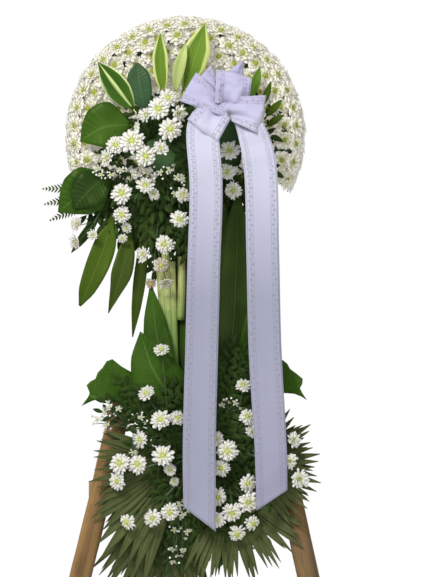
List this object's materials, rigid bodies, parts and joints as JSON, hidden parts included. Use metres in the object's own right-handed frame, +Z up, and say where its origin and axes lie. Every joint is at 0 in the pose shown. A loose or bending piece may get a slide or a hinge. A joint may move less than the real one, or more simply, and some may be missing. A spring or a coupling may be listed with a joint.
{
  "type": "funeral wreath on stand",
  "caption": "Funeral wreath on a wooden pole stand: a half-moon pad of white mums with leaves, a ribbon bow with long tails, and a lower bunch with fan leaves.",
  "frame": {"origin": "on the floor, under the middle of the three feet's outer box", "axes": "+Z up along the height, -Y the side that the flowers and the ribbon face, +X to the viewer's right"},
  "size_m": [0.7616, 0.7218, 1.6963],
  "materials": {
    "petal_white": "matte",
    "leaf_green": "satin",
    "leaf_dark": "satin",
    "leaf_striped": "satin",
    "stalk_pale": "matte",
    "ribbon_satin": "gloss",
    "pole_wood": "matte",
    "mast_wood": "matte",
    "board_wood": "matte",
    "foam_green": "matte"
  },
  "bodies": {
    "root": {"LegLeft": "pole_wood", "LegRight": "pole_wood", "LegBack": "pole_wood", "Mast": "mast_wood", "RibbonBow": "ribbon_satin", "RibbonTailLeft": "ribbon_satin", "RibbonTailRight": "ribbon_satin", "MumSprayTop": "petal_white", "MumSprayLeft": "petal_white", "MumSprayLower": "petal_white", "MumSprayInner": "petal_white", "MumSprayOuter": "petal_white", "MumSprayDrooping": "petal_white", "MumSprayBetweenTails": "petal_white", "MumSprayLowBack": "petal_white", "MumSprayLowMiddle": "petal_white", "MumSprayLowLeft": "petal_white", "MumSprayLowUpperRight": "petal_white", "MumSprayLowCentre": "petal_white", "MumSprayLowFront": "petal_white", "MumSprayLowDrooping": "petal_white", "MumSprayLowRight": "petal_white", "FloretSprayUpperLeft": "petal_white", "FloretSprayUpperRight": "petal_white", "FloretSprayLowTop": "petal_white", "FloretSprayLowLeft": "petal_white", "FloretSprayLowBottom": "petal_white", "PaleStrapLeaf": "leaf_striped", "StripedLeafLeft": "leaf_dark", "RoundLeafDark": "leaf_dark", "BroadLeafUpper": "leaf_dark", "BroadLeafLower": "leaf_dark", "SlenderLeafA": "leaf_green", "HangingLeafOuter": "leaf_green", "HangingLeafMiddle": "leaf_green", "HangingLeafInner": "leaf_green", "SmallLeafLeft": "leaf_dark", "TallLeafCentre": "leaf_dark", "TallLeafRight": "leaf_dark", "TallLeafOuter": "leaf_green", "BroadLeafMiddle": "leaf_dark", "TallLeafShort": "leaf_green", "StripedLeafTall": "leaf_striped", "HangingLeavesDark": "leaf_dark", "SlenderLeavesSide": "leaf_green", "LobedLeafLeft": "leaf_green", "LobedLeafRight": "leaf_green", "FernTips": "leaf_green", "StalkBundle": "stalk_pale", "FanLeafLeft": "leaf_green", "FanLeafBottomLeft": "leaf_green", "FanLeafBottomRight": "leaf_green", "FanLeafRight": "leaf_green", "FoamBlockLower": "foam_green", "HeadMums": "petal_white", "HeadBoard": "board_wood", "BattenUpper": "board_wood", "BattenLower": "board_wood", "CrossbarUpper": "board_wood", "CrossbarLower": "board_wood"}
  },
  "joints": []
}
